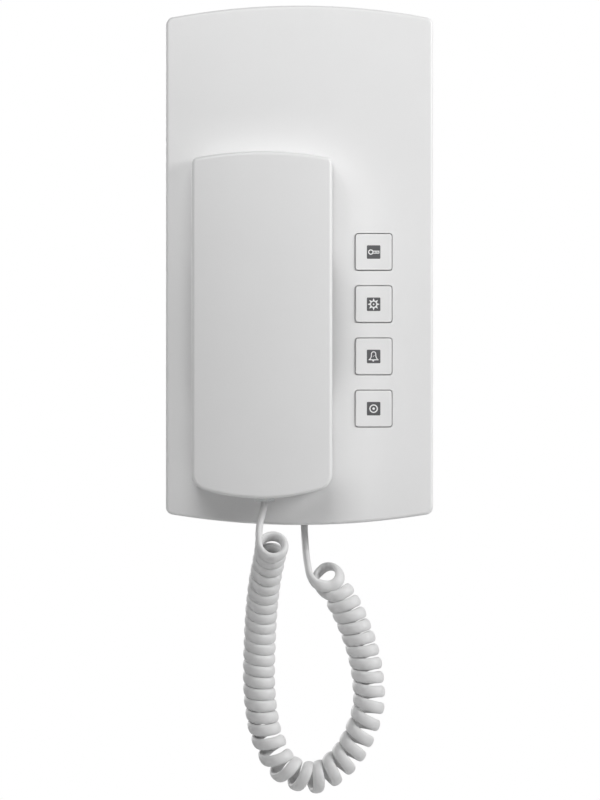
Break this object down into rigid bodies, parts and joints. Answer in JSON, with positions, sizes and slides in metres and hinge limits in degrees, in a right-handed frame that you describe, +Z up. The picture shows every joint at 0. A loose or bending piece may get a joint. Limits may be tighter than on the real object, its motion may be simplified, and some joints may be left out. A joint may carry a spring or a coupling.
{
  "type": "audio intercom handset",
  "caption": "Wall-mounted audio intercom: crowned white cover with square keys, handset resting in its cradle, and a curly flat cord to the foot of the cover.",
  "frame": {"origin": "on the wall plane, midway between the two screw holes for a wall box, at the middle of the cover's width and height", "axes": "+Z up the wall, +Y into the wall, +X to the right as seen from the front; the front looks along -Y"},
  "size_m": [0.105, 0.0465, 0.3097],
  "materials": {
    "cover_abs": "fine spark-eroded texture, semi-matt white ABS",
    "handset_abs": "satin white ABS, smoother than the cover",
    "key_abs": "satin white ABS with a small printed symbol",
    "base_abs": "plain moulded white ABS",
    "plunger_pom": "slippery natural acetal",
    "board_laminate": "green solder resist on glass-epoxy laminate",
    "component_epoxy": "black moulded epoxy",
    "capacitor_can": "bare can top in a printed sleeve",
    "switch_nylon": "black glass-filled nylon",
    "dome_steel": "thin stainless snap dome",
    "spring_steel": "bright drawn wire",
    "speaker_steel": "pressed zinc-plated steel",
    "ferrite": "sintered black ferrite",
    "paper_cone": "pressed black paper",
    "terminal_pa": "green polyamide",
    "screw_zinc": "bright zinc-plated steel",
    "jack_pbt": "black PBT",
    "plug_polycarbonate": "clear polycarbonate",
    "capsule_aluminium": "drawn can",
    "capsule_abs": "black ABS capsule",
    "foam_gasket": "closed-cell foam ring",
    "boot_rubber": "soft moulded rubber",
    "cord_pvc": "satin white PVC jacket"
  },
  "bodies": {
    "base": {"base_plate": "base_abs", "front_cover": "cover_abs", "main_board": "board_laminate", "board_parts": "component_epoxy", "capacitors": "capacitor_can", "key_switches": "switch_nylon", "key_domes": "dome_steel", "hook_spring": "spring_steel", "hook_switch": "switch_nylon", "ringer_basket": "speaker_steel", "ringer_magnet": "ferrite", "ringer_cone": "paper_cone", "terminal_block": "terminal_pa", "terminal_screws": "screw_zinc", "board_screws": "screw_zinc", "cover_screw": "screw_zinc", "base_jack": "jack_pbt", "base_plug": "plug_polycarbonate", "cord_lead_handset": "cord_pvc", "cord_curl": "cord_pvc", "cord_lead_base": "cord_pvc"},
    "handset": {"handset_shell": "handset_abs", "handset_back": "handset_abs", "earpiece": "capsule_abs", "earpiece_gasket": "foam_gasket", "microphone": "capsule_aluminium", "microphone_boot": "boot_rubber", "handset_screws": "screw_zinc", "handset_jack": "jack_pbt", "handset_plug": "plug_polycarbonate"},
    "hook": {"hook_plunger": "plunger_pom"},
    "hook_pin": {"hook_switch_pin": "plunger_pom"},
    "door_button": {"door_key": "key_abs", "door_plunger": "plunger_pom"},
    "light_button": {"light_key": "key_abs", "light_plunger": "plunger_pom"},
    "call_button": {"call_key": "key_abs", "call_plunger": "plunger_pom"},
    "aux_button": {"aux_key": "key_abs", "aux_plunger": "plunger_pom"}
  },
  "joints": [
    {"name": "handset_lift", "type": "slide", "parent": "base", "child": "handset", "axis": [0, -0.9397, 0.342], "range_m": [0, 0.056]},
    {"name": "hook_travel", "type": "slide", "parent": "base", "child": "hook", "axis": [0, -1, 0], "range_m": [0, 0.0028], "deforming": ["hook_spring"]},
    {"name": "hook_pin_travel", "type": "slide", "parent": "base", "child": "hook_pin", "axis": [0, -1, 0], "range_m": [0, 0.00112]},
    {"name": "door_press", "type": "slide", "parent": "base", "child": "door_button", "axis": [0, 1, 0], "range_m": [0, 0.0008], "stiffness_N_per_m": 1000, "springref_m": -0.0005, "deforming": ["key_domes"]},
    {"name": "light_press", "type": "slide", "parent": "base", "child": "light_button", "axis": [0, 1, 0], "range_m": [0, 0.0008], "stiffness_N_per_m": 1000, "springref_m": -0.0005, "deforming": ["key_domes"]},
    {"name": "call_press", "type": "slide", "parent": "base", "child": "call_button", "axis": [0, 1, 0], "range_m": [0, 0.0008], "stiffness_N_per_m": 1000, "springref_m": -0.0005, "deforming": ["key_domes"]},
    {"name": "aux_press", "type": "slide", "parent": "base", "child": "aux_button", "axis": [0, 1, 0], "range_m": [0, 0.0008], "stiffness_N_per_m": 1000, "springref_m": -0.0005, "deforming": ["key_domes"]}
  ],
  "couplings": [
    {"joint": "hook_travel", "follows": "handset_lift", "ratio": 0.05},
    {"joint": "hook_pin_travel", "follows": "handset_lift", "ratio": 0.02}
  ]
}
